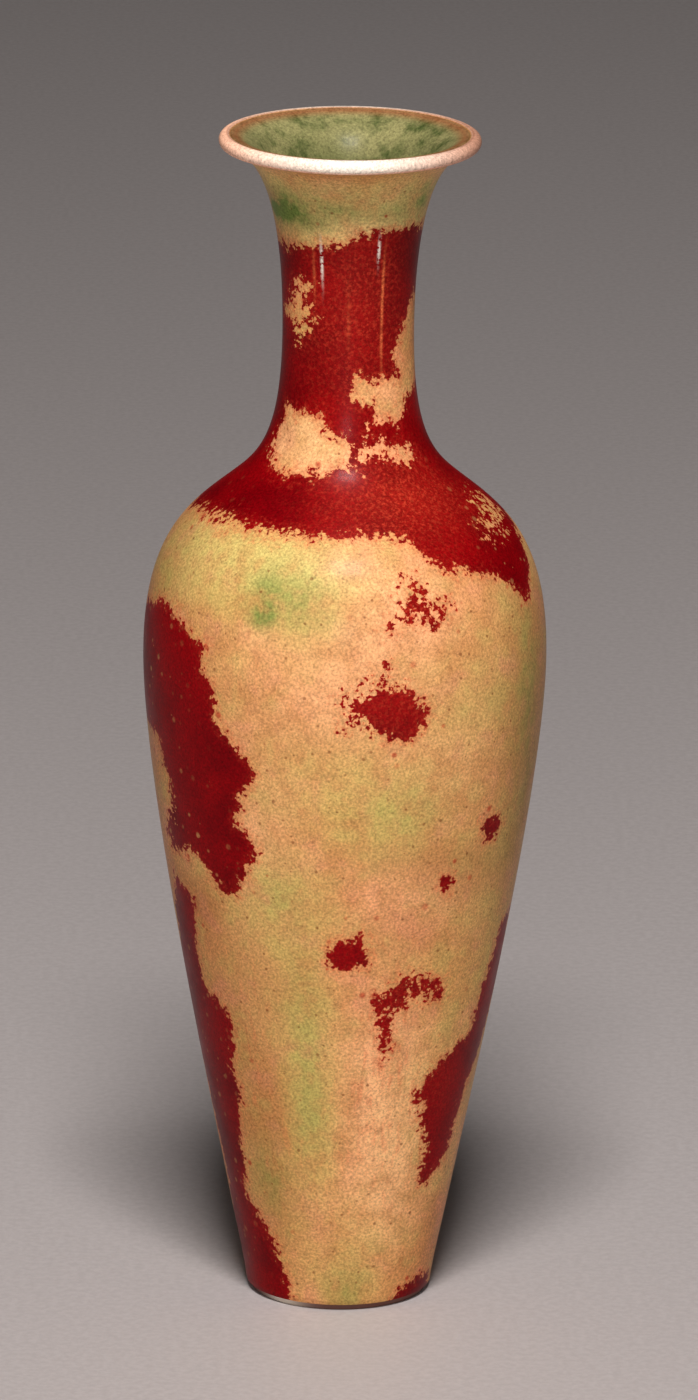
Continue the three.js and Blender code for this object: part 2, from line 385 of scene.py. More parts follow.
# Buff openings in that band.
BUFF_HOLES = {
    "neck_foot": [
        (-71, 118), (-65, 120.5), (-60, 124), (-52, 124), (-45, 123.5), (-38, 123.8),
        (-22, 123.7), (-18, 121.7), (-8, 121), (0, 120.8), (8, 119.6), (13, 120.5), (30, 120),
        (40, 120.2), (50, 119.6), (62, 118.4), (60, 117.6), (45, 117.3), (30, 117.8),
        (20, 118.6), (10, 117.4), (0, 117.2), (-10, 116.5), (-20, 116), (-30, 115.7),
        (-40, 115.8), (-50, 116.3), (-60, 117.3),
    ],
    "neck_right": [
        (2, 127.8), (5, 129.3), (12, 129.8), (22, 128.8), (30, 129), (40, 128.6), (50, 128.5),
        (50, 130), (42, 130.3), (41, 131.3), (47, 133.3), (56, 135), (63, 136.8), (72, 138.8),
        (86, 139.5), (98, 136), (96, 128), (80, 126), (68, 125.8), (56, 125.3), (52, 124),
        (46, 122.6), (44, 121.2), (36, 122.8), (20, 123), (18, 124.8), (8, 125.3), (3, 126),
    ],
    "neck_left": [
        (-76, 137), (-62, 138.3), (-54, 139.8), (-51, 141.8), (-44, 142), (-34, 141.4),
        (-30, 140.8), (-36, 139.3), (-34, 137.2), (-29, 136.4), (-38, 135.7), (-33, 134.4),
        (-42, 133.6), (-45, 132.2), (-54, 132.1), (-53, 133.6), (-57, 135.4), (-64, 136.2),
        (-75, 136),
    ],
    "shoulder_right": [
        (58, 108.9), (64, 109.5), (68, 111), (80, 111.6), (92, 111.4), (92, 109.2), (80, 107.8),
        (72, 107), (65, 107.7), (58, 107.9),
    ],
    "neck_back": [
        (140, 131), (152, 136), (170, 134), (184, 128), (176, 122), (156, 121), (142, 125),
    ],
    "shoulder_back": [(200, 113), (216, 117), (234, 115), (238, 110), (220, 109), (204, 110)],
}

# Soft patches, each as (degrees, height, half width in degrees, half height in mm, strength).
# Each list is painted on the wall under its own name.
SOFT_PATCHES = {
    "green": [
        (-25, 102.3, 4, 2.2, 0.55), (-25, 99.9, 2.6, 1.0, 0.8), (-11, 101.3, 6, 2.4, 0.35),
        (-18, 103.8, 9, 2.6, 0.3), (-66, 151, 12, 1.6, 1.2), (-42, 151.6, 18, 1.5, 0.75),
        (-4, 151.8, 12, 0.9, 0.5), (26, 151.2, 14, 1.0, 0.4), (-10, 154, 40, 1.8, 0.35),
        (56, 152, 14, 2.4, 0.45), (-30, 149.6, 14, 0.8, 0.45), (-36, 19, 6, 3, 0.4),
        (4, 3, 10, 2.2, 0.6), (-75, 103, 12, 5, 0.35), (66, 85, 8, 14, 0.5),
        (-13, 44, 4, 7, 0.2), (-12, 30, 5, 5, 0.25), (20, 73, 10, 3, 0.18),
        (-20, 61, 6, 2.5, 0.2), (120, 152, 50, 3.6, 0.6), (200, 152, 50, 3.6, 0.8),
        (175, 62, 10, 7, 0.6),
    ],
    "yellow": [
        (-20, 61, 10, 4.5, 0.9), (16, 73, 14, 4.5, 0.9), (-14, 44, 7, 9, 0.85),
        (-13, 28, 8, 8, 0.9), (-28, 106, 14, 4, 0.8), (-12, 102, 16, 6, 0.55),
        (6, 7, 14, 5, 0.6), (-36, 19, 9, 5, 0.7), (40, 88, 20, 6, 0.45),
        (-10, 80, 16, 5, 0.45), (-60, 106, 18, 5, 0.7), (55, 55, 12, 9, 0.45),
        (200, 66, 18, 12, 0.7), (100, 40, 18, 14, 0.6), (150, 20, 16, 10, 0.6),
        (100, 70, 14, 10, 0.5),
    ],
    "pink": [
        (6, 96, 16, 8, 0.9), (-26, 97.2, 5, 0.9, 0.9), (-26, 70, 9, 6, 0.7),
        (24, 22, 16, 9, 0.8), (14, 36, 10, 10, 0.8), (-8, 88, 16, 5, 0.5),
        (30, 78, 14, 5, 0.5), (14, 63, 14, 3.5, 0.5), (-4, 119, 60, 3, 0.75),
        (30, 126, 30, 4, 0.5), (30, 149.6, 30, 1.2, 0.6), (23, 101.5, 11, 4, 0.7),
        (36, 60, 20, 4, 0.4), (170, 100, 30, 8, 0.6), (230, 50, 16, 12, 0.6),
        (110, 20, 20, 8, 0.6),
    ],
    "brown": [
        (44, 63, 14, 2.6, 0.55), (-54, 58, 9, 2.6, 0.6), (16, 55, 12, 2.6, 0.4),
        (-44, 40, 7, 9, 0.35), (-28, 30, 7, 8, 0.3), (70, 74, 9, 14, 0.6),
        (-34, 15, 12, 4, 0.5), (-38, 26, 8, 8, 0.35), (30, 66.5, 22, 1.8, 0.35),
        (-30, 48, 12, 4, 0.3), (6, 158, 40, 1.0, 0.6), (150, 58, 14, 6, 0.4),
    ],
    # The broad pale band round the top of the neck, strongest at the front, is partly the glaze's pale
    # buff and partly painted light.
    "pale": [
        (0, 151.6, 70, 3.0, 1.1), (-30, 119.8, 26, 2.6, 0.25), (-10, 106.5, 22, 2.5, 0.35),
        (24, 26, 14, 12, 0.35), (180, 151.6, 70, 2.6, 0.8),
    ],
    "thin_red": [
        (20, 114, 22, 2.8, 1.0), (5, 136, 36, 9, 0.62), (16, 101, 16, 5, 0.7),
        (14, 88, 14, 4, 0.45), (20, 144, 20, 5, 0.3), (50, 113, 18, 3, 0.5),
        (24, 46, 16, 5, 0.4), (46, 33, 10, 5, 0.3),
    ],
    "flecks": [
        (-70, 80, 9, 14, 1.0), (-50, 66, 8, 5, 0.8), (-62, 30, 8, 20, 0.6),
        (76, 106, 12, 5, 1.2), (136, 76, 18, 14, 0.7), (190, 24, 14, 14, 0.6),
    ],
    "streaks": [
        (14, 38, 10, 8, 1.0), (28, 28, 8, 8, 0.6), (-36, 34, 10, 14, 0.7),
        (4, 20, 30, 10, 0.4), (16, 54, 14, 4, 0.5), (-28, 88, 8, 8, 0.4),
        (120, 40, 30, 20, 0.6), (230, 40, 20, 16, 0.6),
    ],
    "drip_line": [
        (30, 134, 0.7, 3.2, 0.9), (30, 141, 0.7, 3.2, 1.1), (-30, 142.5, 0.8, 2.4, 0.6),
        (0, 137, 1.0, 3.0, 0.25),
    ],
    # The dotted lines are painted highlights: short rows of white glints on the neck where the lamps
    # reflect.
    "painted_glint_dots": [(-22.5, 144.6, 0.6, 1.8, 1.1), (24.4, 146.2, 0.6, 1.1, 1.1)],
}

# Where the red breaks up into dots, and where buff shows in it only as flecks. Each moves the
# red's outline by this many millimetres at a strength of 1.
SCATTERED_SPOTS = [
    (23, 101.5, 9, 3.0, 0.8), (3, 89.5, 6, 3.5, 1.1), (12, 93.5, 5, 2, 0.9), (36, 30, 6, 4, 0.3),
    (216, 82, 14, 5, 0.7), (236, 68, 12, 8, 0.4), (150, 56, 14, 6, 0.6),
]
SCATTERED_LOSS = 1.4
FLECKED_SPOTS = [
    (-44, 137.5, 14, 4, 0.6), (12, 126, 12, 2.5, 0.3), (12, 119, 12, 2, 0.35),
    (76, 109, 14, 3, 1.1), (-66, 68, 8, 4, 0.5), (50, 119, 12, 2, 0.3), (-66, 119, 8, 3, 0.2),
    (24, 46, 14, 4, 0.35), (156, 128, 22, 8, 0.6), (220, 113, 24, 4, 0.7),
]
FLECKED_GAIN = 1.3
FARTHEST_REACH = 6

INSIDE_DARK_SPOTS = [
    (190, 152, 10, 3, 0.9), (166, 150, 9, 3, 0.8), (212, 155, 12, 2, 0.5), (140, 153, 8, 2.5, 0.6),
    (232, 151, 8, 3, 0.6), (120, 156, 9, 2, 0.5),
]

# A vertex is inside the neck if it lies this far behind the outside, and no more than this far
# under the neck's joint, in mm.
BEHIND_OUTSIDE = 0.2
UNDER_NECK_JOINT = 0.5

# The lip's colours, by the degrees round its small circle and the millimetres off its surface.
LIP_WHITE_FROM = -105
LIP_WHITE_TO = 118
LIP_WHITE_FADES = (15, 20)
LIP_WHITE_DEPTH = 0.5
LIP_UNDERSIDE_BELOW = -60
LIP_PEACH_BELOW = -40
LIP_INSIDE_ABOVE = 90
# Brown lines beside the lip, each as (how far off its surface, half width, strength).
BROWN_LINE_UNDER_LIP = (0.12, 0.22, 0.75)
BROWN_LINE_IN_MOUTH = (0.5, 0.5, 1.0)

# The bare clay round the foot is burnt, but for a light stretch at the front left.
LIGHT_FOOT_SPOT = (-38, 0.5, 10, 4, 0.9)
FOOT_EDGE_WIDTH = 0.3
FOOT_EDGE_HEIGHT = 3


def wrapped(degrees):
    return (degrees + 180) % 360 - 180


def round_the_wall(mesh):
    """Each vertex's degrees round from the front, its height and its radius."""
    place = np.empty(len(mesh.vertices) * 3)
    mesh.vertices.foreach_get("co", place)
    place = place.reshape(-1, 3) / MM
    degrees = np.degrees(np.arctan2(place[:, 0], -place[:, 1]))
    return degrees, place[:, 2], np.hypot(place[:, 0], place[:, 1])


def reach_into(outline, degrees, height, radius):
    """Millimetres inside an outline, along the wall: positive inside it, negative outside."""
    outline = np.array(outline, float)
    middle = outline[:, 0].mean()
    across = wrapped(degrees - middle)
    scale = np.radians(radius)
    inside = np.zeros(len(across), bool)
    nearest = np.full(len(across), 1e9)
    for start, end in zip(outline, np.roll(outline, -1, axis=0)):
        ax = (start[0] - middle - across) * scale
        ay = start[1] - height
        bx = (end[0] - middle - across) * scale
        by = end[1] - height
        dx = bx - ax
        dy = by - ay
        share = np.clip(-(ax * dx + ay * dy) / (dx * dx + dy * dy + 1e-12), 0, 1)
        nearest = np.minimum(nearest, np.hypot(ax + share * dx, ay + share * dy))
        crosses = (ay > 0) != (by > 0)
        with np.errstate(divide="ignore", invalid="ignore"):
            where = ax - ay * dx / np.where(dy == 0, 1e-12, dy)
        inside ^= crosses & (where > 0)
    return np.where(inside, nearest, -nearest)


def bell(distance):
    return np.exp(-0.5 * distance ** 2)


def soft_spots(spots, degrees, height):
    """The sum of soft round patches, from 0 upwards."""
    total = np.zeros(len(degrees))
    for centre, middle, half_width, half_height, strength in spots:
        across = wrapped(degrees - centre) / half_width
        along = (height - middle) / half_height
        total += strength * np.exp(-0.5 * (across ** 2 + along ** 2))
    return total


def paint(mesh, name, values):
    layer = mesh.attributes.new(name, "FLOAT", "POINT")
    layer.data.foreach_set("value", np.asarray(values, dtype=np.float32))


def red_reach(degrees, height, radius):
    """Millimetres inside the red's outlines, before it is broken up."""
    band_top = np.interp(degrees, *np.array(BAND_TOP).T)
    band_foot = np.interp(degrees, *np.array(BAND_FOOT).T)
    reach = np.minimum(band_top - height, height - band_foot)
    for outline in BUFF_HOLES.values():
        reach = np.minimum(reach, -reach_into(outline, degrees, height, radius))
    for outline in RED_PATCHES.values():
        reach = np.maximum(reach, reach_into(outline, degrees, height, radius))
    return reach


def paint_patches(mesh):
    """Paints the outside's patches, and tells the inside of the neck from the outside."""
    degrees, height, radius = round_the_wall(mesh)
    outer_radius = np.interp(height, outside[:, 1], outside[:, 0])
    inner = (radius < outer_radius - BEHIND_OUTSIDE) & (height > NECK_JOINT - UNDER_NECK_JOINT)
    shown = np.where(inner, 0.0, 1.0)
    scattered = soft_spots(SCATTERED_SPOTS, degrees, height)
    flecked = soft_spots(FLECKED_SPOTS, degrees, height)
    reach = red_reach(degrees, height, radius)
    reach = reach - SCATTERED_LOSS * scattered + FLECKED_GAIN * flecked
    reach = np.clip(reach, -FARTHEST_REACH, FARTHEST_REACH)
    paint(mesh, "red_reach", np.where(inner, -FARTHEST_REACH, reach))
    paint(mesh, "lace", (scattered + flecked) * shown)
    for name, spots in SOFT_PATCHES.items():
        paint(mesh, name, soft_spots(spots, degrees, height) * shown)
    paint(mesh, "inside", np.where(inner, 1.0, 0.0))
    paint(mesh, "inside_dark", soft_spots(INSIDE_DARK_SPOTS, degrees, height) * (1 - shown))


def paint_lip(mesh):
    """White over the lip, peach at its sides, painted shade on the right and brown lines at its edges.
    """
    degrees, height, radius = round_the_wall(mesh)
    from_lip = np.hypot(radius - LIP_MIDDLE[0], height - LIP_MIDDLE[1]) - LIP_RADIUS
    angle = np.degrees(np.arctan2(height - LIP_MIDDLE[1], radius - LIP_MIDDLE[0]))
    under_fade, inside_fade = LIP_WHITE_FADES
    on_lip = np.clip(1 - from_lip / LIP_WHITE_DEPTH, 0, 1)
    on_lip *= np.clip((angle - LIP_WHITE_FROM) / under_fade, 0, 1)
    on_lip *= np.clip((LIP_WHITE_TO - angle) / inside_fade, 0, 1)
    paint(mesh, "lip_white", on_lip)
    sideways = np.sin(np.radians(degrees))
    peach = 0.1 + 0.9 * np.abs(sideways) ** 1.6 + 0.5 * (angle < LIP_PEACH_BELOW)
    paint(mesh, "lip_peach", on_lip * np.clip(peach, 0, 1))
    # Painted shade: the lip's white darkens towards the viewer's right side.
    paint(mesh, "lip_painted_shade", on_lip * np.clip(sideways, 0, 1) ** 2)
    off, width, strength = BROWN_LINE_UNDER_LIP
    brown = strength * bell((from_lip - off) / width) * (angle < LIP_UNDERSIDE_BELOW)
    off, width, strength = BROWN_LINE_IN_MOUTH
    brown = brown + strength * bell((from_lip - off) / width) * (angle > LIP_INSIDE_ABOVE)
    paint(mesh, "rim_brown", np.clip(brown, 0, 1))


def paint_foot_clay(mesh):
    """Stains the bare clay's outer edge round the foot, but for its light stretch."""
    degrees, height, radius = round_the_wall(mesh)
    light = soft_spots([LIGHT_FOOT_SPOT], degrees, height)
    outer_edge = (radius > FOOT_FACE_RADIUS - FOOT_EDGE_WIDTH) & (height < FOOT_EDGE_HEIGHT)
    paint(mesh, "kiln_stain", np.clip(1 - light, 0, 1) * outer_edge)


paint_patches(red_glaze.data)
paint_lip(red_glaze.data)
paint_foot_clay(foot_clay.data)


# Shader building.

NOISE_GAIN = 4.0              # a noise swings by about a quarter to each side of its middle
SPECK_CORE = 0.4              # how much of a speck's radius is solid
PEEL_SHARE = 0.25             # how high the peel stands beside the swell


def srgb(red, green, blue):
    """A colour given as on a screen, from 0 to 255, as the shader's linear values."""
    def linear(value):
        share = value / 255
        return share / 12.92 if share <= 0.04045 else ((share + 0.055) / 1.055) ** 2.4
    return (linear(red), linear(green), linear(blue), 1)


class Bench:
    """A node tree with short calls for the nodes that these glazes use."""

    def __init__(self, tree):
        self.tree = tree
        self.nodes = tree.nodes
        self.links = tree.links

    def add(self, kind, settings=None, inputs=None):
        node = self.nodes.new(kind)
        for key, value in (settings or {}).items():
            setattr(node, key, value)
        for key, value in (inputs or {}).items():
            self.feed(node.inputs[key], value)
        return node

    def feed(self, socket, value):
        if isinstance(value, bpy.types.NodeSocket):
            self.links.new(value, socket)
        else:
            socket.default_value = value

    def maths(self, operation, first, second=0.0, third=0.0, clamp=False):
        node = self.add("ShaderNodeMath", {"operation": operation, "use_clamp": clamp})
        for socket, value in zip(node.inputs, (first, second, third)):
            self.feed(socket, value)
        return node.outputs[0]

    def ramp(self, value, low, high, to_low=0.0, to_high=1.0):
        """A smooth step from one level to another as the value goes from low to high."""
        node = self.add("ShaderNodeMapRange", {"interpolation_type": "SMOOTHSTEP"}, {
            "Value": value, "From Min": low, "From Max": high,
            "To Min": to_low, "To Max": to_high,
        })
        return node.outputs[0]

    def mix(self, share, first, second, blend="MIX"):
        node = self.add("ShaderNodeMix", {"data_type": "RGBA", "blend_type": blend})
        self.feed(node.inputs[0], share)
        self.feed(node.inputs[6], first)
        self.feed(node.inputs[7], second)
        return node.outputs[2]

    def toned(self, color, tone):
        """A colour made lighter or darker by a number about 1."""
        grey = self.add("ShaderNodeCombineColor", None, {"Red": tone, "Green": tone, "Blue": tone})
        return self.mix(1.0, color, grey.outputs[0], "MULTIPLY")

    def attribute(self, name):
        return self.add("ShaderNodeAttribute", {"attribute_name": name}).outputs["Fac"]

    def painted(self, color, name, strength, over):
        """Lays another colour over a colour where the piece is painted with that name."""
        share = self.maths("MULTIPLY", self.attribute(name), strength, clamp=True)
        return self.mix(share, color, over)

    def noise(self, vector, scale, detail=3.0, roughness=0.55):
        node = self.add("ShaderNodeTexNoise", None, {
            "Vector": vector, "Scale": scale, "Detail": detail, "Roughness": roughness,
        })
        return node.outputs["Fac"]

    def noise_about_zero(self, vector, scale, detail, roughness=0.55):
        return self.maths("SUBTRACT", self.noise(vector, scale, detail, roughness), 0.5)

    def bumped(self, height, strength, distance):
        bump = self.add("ShaderNodeBump", None, {
            "Strength": strength, "Distance": distance, "Height": height,
        })
        return bump.outputs["Normal"]

    def place(self):
        return self.add("ShaderNodeTexCoord").outputs["Object"]


def new_group(name, inputs, output):
    """An empty node group with named number inputs, each with its default, and one output."""
    tree = bpy.data.node_groups.new(name, "ShaderNodeTree")
    for label, default in inputs.items():
        socket = tree.interface.new_socket(label, in_out="INPUT", socket_type="NodeSocketFloat")
        socket.default_value = default
    tree.interface.new_socket(output, in_out="OUTPUT", socket_type="NodeSocketFloat")
    bench = Bench(tree)
    entry = bench.add("NodeGroupInput")
    leave = bench.add("NodeGroupOutput")
    return bench, entry.outputs, leave.inputs[output]


def make_grain_group():
    """Fine kiln grain: a gentle light and dark mottle, about 1 at its middle."""
    bench, given, result = new_group("fine_grain", {"Size mm": 0.6, "Depth": 0.1}, "Tone")
    scale = bench.maths("DIVIDE", 1 / MM, given["Size mm"])
    grain = bench.noise_about_zero(bench.place(), scale, 3.0, 0.7)
    swing = bench.maths("MULTIPLY", grain, given["Depth"])
    bench.feed(result, bench.maths("MULTIPLY_ADD", swing, NOISE_GAIN, 1.0))
    return bench.tree


def make_speck_group():
    """Scattered specks: 1 in a speck and 0 between them."""
    bench, given, result = new_group(
        "iron_specks", {"Spacing mm": 2.0, "Speck size": 0.12, "Share": 0.5}, "Speck"
    )
    scale = bench.maths("DIVIDE", 1 / MM, given["Spacing mm"])
    cells = bench.add("ShaderNodeTexVoronoi", {"feature": "F1"}, {
        "Vector": bench.place(), "Scale": scale, "Randomness": 1.0,
    })
    lots = bench.add("ShaderNodeSeparateColor", None, {"Color": cells.outputs["Color"]})
    small = bench.maths("MULTIPLY", given["Speck size"], lots.outputs["Green"])
    edge = bench.maths("MULTIPLY", small, SPECK_CORE)
    near = bench.ramp(cells.outputs["Distance"], small, edge)
    drawn = bench.maths("LESS_THAN", lots.outputs["Red"], given["Share"])
    bench.feed(result, bench.maths("MULTIPLY", near, drawn))
    return bench.tree


def make_skin_group():
    """Glaze skin: the slow swell of a fired glaze with a finer peel on it, as a height."""
    bench, given, result = new_group("glaze_skin", {"Swell mm": 4.0, "Peel mm": 0.9}, "Height")
    swell = bench.noise(bench.place(), bench.maths("DIVIDE", 1 / MM, given["Swell mm"]), 1.0)
    peel = bench.noise(bench.place(), bench.maths("DIVIDE", 1 / MM, given["Peel mm"]), 2.0)
    bench.feed(result, bench.maths("MULTIPLY_ADD", peel, PEEL_SHARE, swell))
    return bench.tree


grain_group = make_grain_group()
speck_group = make_speck_group()
skin_group = make_skin_group()


def use_group(bench, group, values):
    node = bench.add("ShaderNodeGroup")
    node.node_tree = group
    for label, value in values.items():
        bench.feed(node.inputs[label], value)
    return node.outputs[0]


def specks(bench, spacing, size, share):
    return use_group(
        bench, speck_group, {"Spacing mm": spacing, "Speck size": size, "Share": share}
    )


def skin(bench, swell, peel):
    return use_group(bench, skin_group, {"Swell mm": swell, "Peel mm": peel})


def new_material(name):
    material = bpy.data.materials.new(name)
    material.use_nodes = True
    bench = Bench(material.node_tree)
    shader = next(n for n in bench.nodes if n.type == "BSDF_PRINCIPLED")
    return material, bench, shader


# The glazes' colours.

BUFF = srgb(216, 158, 98)
BUFF_DEEP = srgb(206, 140, 84)
PALE_BUFF = srgb(248, 218, 142)
PEACH = srgb(238, 164, 117)
ROSE = srgb(228, 146, 108)
YELLOW_GREEN = srgb(200, 174, 98)
GREEN = srgb(112, 130, 62)
BROWN = srgb(150, 92, 48)
SPECK_BROWN = srgb(120, 66, 34)
CRIMSON = srgb(134, 2, 8)
OXBLOOD = srgb(108, 0, 6)
THIN_RED = srgb(178, 52, 34)
HALO_ORANGE = srgb(214, 110, 70)
DRIP_ORANGE = srgb(226, 112, 66)
WHITE_LIP_AND_GLINT = srgb(250, 240, 224)
# The lip's white, also used for the painted highlight dots on the neck.
LIP_PEACH = srgb(255, 188, 152)
# A painted shade colour for the right side of the lip.
LIP_PAINTED_SHADE = srgb(150, 98, 80)
RIM_BROWN = srgb(150, 84, 52)
INSIDE_GREEN = srgb(144, 136, 89)
INSIDE_DARK = srgb(70, 80, 40)
CLEAR_LIGHT = srgb(222, 224, 212)
CLEAR_DARK = srgb(206, 211, 198)
CLAY_LIGHT = srgb(238, 228, 212)
CLAY_DARK = srgb(222, 206, 184)
SLIP_LIGHT = srgb(222, 208, 186)
SLIP_DARK = srgb(204, 186, 160)
KILN_STAIN = srgb(92, 40, 28)
PAPER_LIGHT = srgb(188, 178, 175)
PAPER_DARK = srgb(178, 168, 165)

# How many cells of each noise a metre holds.
DRIFT = 70
RED_DEPTH = 120
CLOUDS = 190
FRAY = 260
MOTTLE = 330
TEETH = 800
STREAKS = 1100
BEADS = 1700
GRANULES = 1900
CLEAR_GRAIN = 400
CLAY_GRAIN = 1500
CLAY_STAINS = 200
PAPER_TOOTH = 900

# How far each noise moves the red's outline, in mm for a swing of 1, and how much more in lace.
FRAY_REACH = 2.4
TEETH_REACH = 4.2
TEETH_REACH_IN_LACE = 9.0
BEADS_REACH = 2.2
BEADS_REACH_IN_LACE = 4.0
STREAK_STRETCH = 0.12         # how fast the streaks vary upwards, as a share of across

# Over which millimetres inside the red's outline each of these comes in. Negative is outside.
RED_DOTS_NEARBY = (-5.5, -1.0)
ORANGE_HALO = (-1.6, 0.1)
RED_EDGE = (-0.2, 0.2)
FULL_RED = (0.1, 1.6)

# Specks, each as (spacing in mm, largest radius as a share of it, share of the cells with one).
IRON_SPECKS = (1.15, 0.3, 0.45)
RED_DOTS = (2.1, 0.34, 0.4)
PALE_FLECKS = (1.3, 0.5, 0.5)
CLEAR_SPECKS = (2.4, 0.2, 0.25)
CLAY_SPECKS = (1.2, 0.22, 0.35)

# Glaze skins, each as (swell in mm, peel in mm).
RED_SKIN = (5.0, 0.8)
CLEAR_SKIN = (3.0, 0.7)

# How strongly each kind of patch colours the ground, in the order in which they are laid.
GROUND_PATCHES = (
    ("pink", 0.85, PEACH), ("yellow", 0.8, YELLOW_GREEN), ("pale", 0.75, PALE_BUFF),
    ("brown", 0.6, BROWN), ("green", 0.85, GREEN),
)


def glaze_ground(bench, place, mottle, reach):
    """Buff that drifts to peach, yellow and green, with streaks, clouds and specks in it."""
    ground = bench.mix(bench.ramp(bench.noise(place, DRIFT, 2.0), 0.35, 0.65), BUFF, BUFF_DEEP)
    clouds = bench.noise(place, CLOUDS, 2.5, 0.6)
    ground = bench.mix(bench.ramp(clouds, 0.5, 0.7, 0.0, 0.5), ground, YELLOW_GREEN)
    ground = bench.mix(bench.ramp(clouds, 0.5, 0.3, 0.0, 0.55), ground, ROSE)
    uneven = bench.ramp(mottle, 0.25, 0.75, 0.35, 1.5)
    for name, strength, color in GROUND_PATCHES:
        amount = bench.maths("MULTIPLY", bench.attribute(name), uneven)
        share = bench.maths("MULTIPLY", amount, strength, clamp=True)
        ground = bench.mix(share, ground, color)
    ground = bench.toned(ground, bench.ramp(mottle, 0.3, 0.7, 0.93, 1.06))

    stretched = bench.add("ShaderNodeVectorMath", {"operation": "MULTIPLY"})
    bench.feed(stretched.inputs[0], place)
    bench.feed(stretched.inputs[1], (1, 1, STREAK_STRETCH))
    streaks = bench.ramp(bench.noise(stretched.outputs[0], STREAKS, 2.0), 0.5, 0.72)
    streaks = bench.maths("MULTIPLY", streaks, bench.attribute("streaks"), clamp=True)
    ground = bench.mix(bench.maths("MULTIPLY", streaks, 0.4), ground, HALO_ORANGE)
    iron = bench.maths("MULTIPLY", specks(bench, *IRON_SPECKS), 0.65)
    ground = bench.mix(iron, ground, SPECK_BROWN)
    near_red = bench.ramp(reach, *RED_DOTS_NEARBY, 0.1, 0.8)
    red_dots = bench.maths("MULTIPLY", specks(bench, *RED_DOTS), near_red)
    return bench.mix(red_dots, ground, THIN_RED)


def frayed_reach(bench, place, reach):
    """The red's reach with its outline moved by three sizes of noise, most of all in lace."""
    lace = bench.attribute("lace")
    teeth_reach = bench.maths("MULTIPLY_ADD", lace, TEETH_REACH_IN_LACE, TEETH_REACH)
    beads_reach = bench.maths("MULTIPLY_ADD", lace, BEADS_REACH_IN_LACE, BEADS_REACH)
    fray = bench.noise_about_zero(place, FRAY, 2.0)
    teeth = bench.noise_about_zero(place, TEETH, 3.0, 0.7)
    beads = bench.noise_about_zero(place, BEADS, 1.0, 0.5)
    frayed = bench.maths("MULTIPLY_ADD", fray, FRAY_REACH, reach)
    frayed = bench.maths("MULTIPLY_ADD", teeth, teeth_reach, frayed)
    return bench.maths("MULTIPLY_ADD", beads, beads_reach, frayed)


def red_layer(bench, place, frayed, fine):
    """Crimson and oxblood, thinner and granular at its edge, with pale flecks."""
    edge_thin = bench.ramp(frayed, *FULL_RED, 0.35, 0.0)
    thinness = bench.maths("MULTIPLY", bench.attribute("thin_red"), 0.8)
    thinness = bench.maths("ADD", thinness, edge_thin)
    red = bench.mix(bench.ramp(bench.noise(place, RED_DEPTH, 3.0), 0.35, 0.7), CRIMSON, OXBLOOD)
    red = bench.mix(bench.maths("MULTIPLY", thinness, 0.25, clamp=True), red, THIN_RED)
    granules = bench.maths("MULTIPLY", bench.ramp(fine, 0.46, 0.66), thinness, clamp=True)
    red = bench.mix(granules, red, THIN_RED)
    flecks = specks(bench, *PALE_FLECKS)
    flecks = bench.maths("MULTIPLY", flecks, bench.attribute("flecks"), clamp=True)
    return bench.mix(bench.maths("MULTIPLY", flecks, 0.6), red, BUFF)


def neck_lines(bench, color, fine):
    """Thin orange runs down the neck, and two short rows of white dots that are painted highlights."""
    uneven = bench.ramp(fine, 0.35, 0.6, 0.4, 1.0)
    run = bench.maths("MULTIPLY", bench.attribute("drip_line"), uneven)
    color = bench.mix(bench.maths("MULTIPLY", run, 0.8, clamp=True), color, DRIP_ORANGE)
    # Painted highlight: white glint dots along the neck.
    dots = bench.maths("MULTIPLY", bench.attribute("painted_glint_dots"), bench.ramp(fine, 0.4, 0.5))
    return bench.mix(bench.maths("MULTIPLY", dots, 0.9, clamp=True), color, WHITE_LIP_AND_GLINT)


def lip_and_mouth(bench, color, mottle):
    """The green inside of the neck and the pale lip with its brown edges."""
    inside = bench.mix(bench.ramp(mottle, 0.4, 0.75), INSIDE_GREEN, INSIDE_DARK)
    inside = bench.painted(inside, "inside_dark", 0.7, INSIDE_DARK)
    color = bench.mix(bench.attribute("inside"), color, inside)
    color = bench.mix(bench.attribute("lip_white"), color, WHITE_LIP_AND_GLINT)
    color = bench.painted(color, "lip_peach", 0.95, LIP_PEACH)
    # Painted shade darkens the lip towards its right side.
    color = bench.painted(color, "lip_painted_shade", 0.66, LIP_PAINTED_SHADE)
    return bench.painted(color, "rim_brown", 0.75, RIM_BROWN)


def red_glaze_material():
    """The outside glaze in layers: ground, halo, red, neck lines, the mouth's colours and grain."""
    material, bench, shader = new_material("copper_red_glaze")
    place = bench.place()
    reach = bench.attribute("red_reach")
    mottle = bench.noise(place, MOTTLE, 4.0, 0.6)
    fine = bench.noise(place, GRANULES, 2.0, 0.7)
    frayed = frayed_reach(bench, place, reach)
    color = glaze_ground(bench, place, mottle, reach)
    color = bench.mix(bench.ramp(frayed, *ORANGE_HALO, 0.0, 0.5), color, HALO_ORANGE)
    red = red_layer(bench, place, frayed, fine)
    color = bench.mix(bench.ramp(frayed, *RED_EDGE), color, red)
    color = neck_lines(bench, color, fine)
    color = lip_and_mouth(bench, color, mottle)
    color = bench.toned(color, use_group(bench, grain_group, {"Size mm": 0.34, "Depth": 0.5}))
    bench.feed(shader.inputs["Base Color"], color)
    bench.feed(shader.inputs["Roughness"], bench.ramp(mottle, 0.2, 0.8, 0.3, 0.4))
    bench.feed(shader.inputs["Normal"], bench.bumped(skin(bench, *RED_SKIN), 0.12, 0.1 * MM))
    shader.inputs["IOR"].default_value = 1.5
    shader.inputs["Specular IOR Level"].default_value = 0.05
    shader.inputs["Coat Weight"].default_value = 0.015
    shader.inputs["Coat Roughness"].default_value = 0.1
    return material


